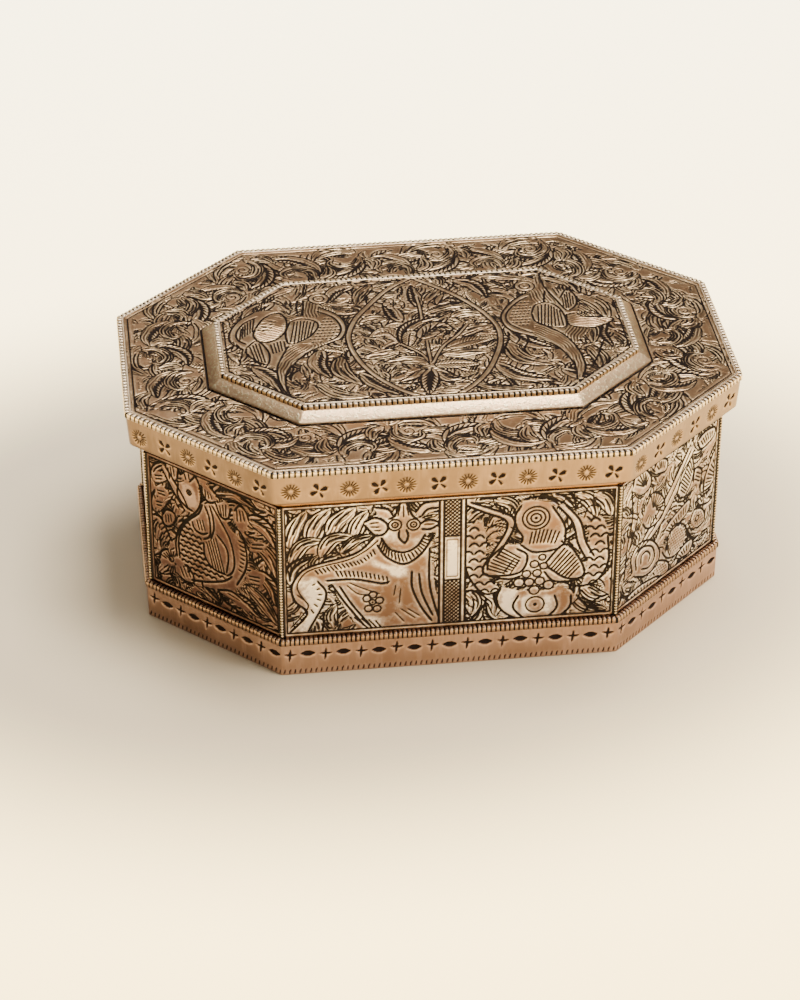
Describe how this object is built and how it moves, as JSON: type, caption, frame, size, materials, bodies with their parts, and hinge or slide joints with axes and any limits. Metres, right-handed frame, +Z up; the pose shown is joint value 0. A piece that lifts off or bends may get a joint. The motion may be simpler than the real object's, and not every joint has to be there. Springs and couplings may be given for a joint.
{
  "type": "lidded brass sweet box",
  "caption": "Long eight-sided brass box with chased foliage, birds and a beast, a plain collar, a beaded plinth and a lift-off lid with a raised boss.",
  "frame": {"origin": "centre of the base, on the surface that the box stands on", "axes": "+X along the box's length, -Y towards its front with the two figure panels, +Z up"},
  "size_m": [0.152, 0.1094, 0.0643],
  "materials": {
    "chased_brass": "hand chased, dark in the cuts, bright on the ridges",
    "beaded_brass": "notched edging, dark between the beads",
    "plain_brass": "satin, warm and copper-brown, finely scratched",
    "stamped_brass": "satin with small punched marks",
    "pale_brass": "rubbed bright, softly mottled"
  },
  "bodies": {
    "box": {"floor_plate": "plain_brass", "wall_front": "chased_brass", "wall_front_right": "chased_brass", "wall_right": "chased_brass", "wall_back_right": "chased_brass", "wall_back": "chased_brass", "wall_back_left": "chased_brass", "wall_left": "chased_brass", "wall_front_left": "chased_brass", "corner_bead_front_left": "beaded_brass", "corner_bead_front_right": "beaded_brass", "corner_bead_right_front": "beaded_brass", "corner_bead_right_back": "beaded_brass", "corner_bead_back_right": "beaded_brass", "corner_bead_back_left": "beaded_brass", "corner_bead_left_back": "beaded_brass", "corner_bead_left_front": "beaded_brass", "collar": "plain_brass", "plinth_band": "stamped_brass", "plinth_bead": "beaded_brass"},
    "lid": {"lid_skirt": "stamped_brass", "lid_bead": "beaded_brass", "lid_plate": "chased_brass", "lid_inner_plate": "plain_brass", "boss_moulding": "pale_brass", "boss_bead": "beaded_brass", "boss_plate": "chased_brass"}
  },
  "joints": [
    {"name": "lid_lift", "type": "slide", "parent": "box", "child": "lid", "axis": [0, 0, 1], "range_m": [0, 0.045]}
  ]
}
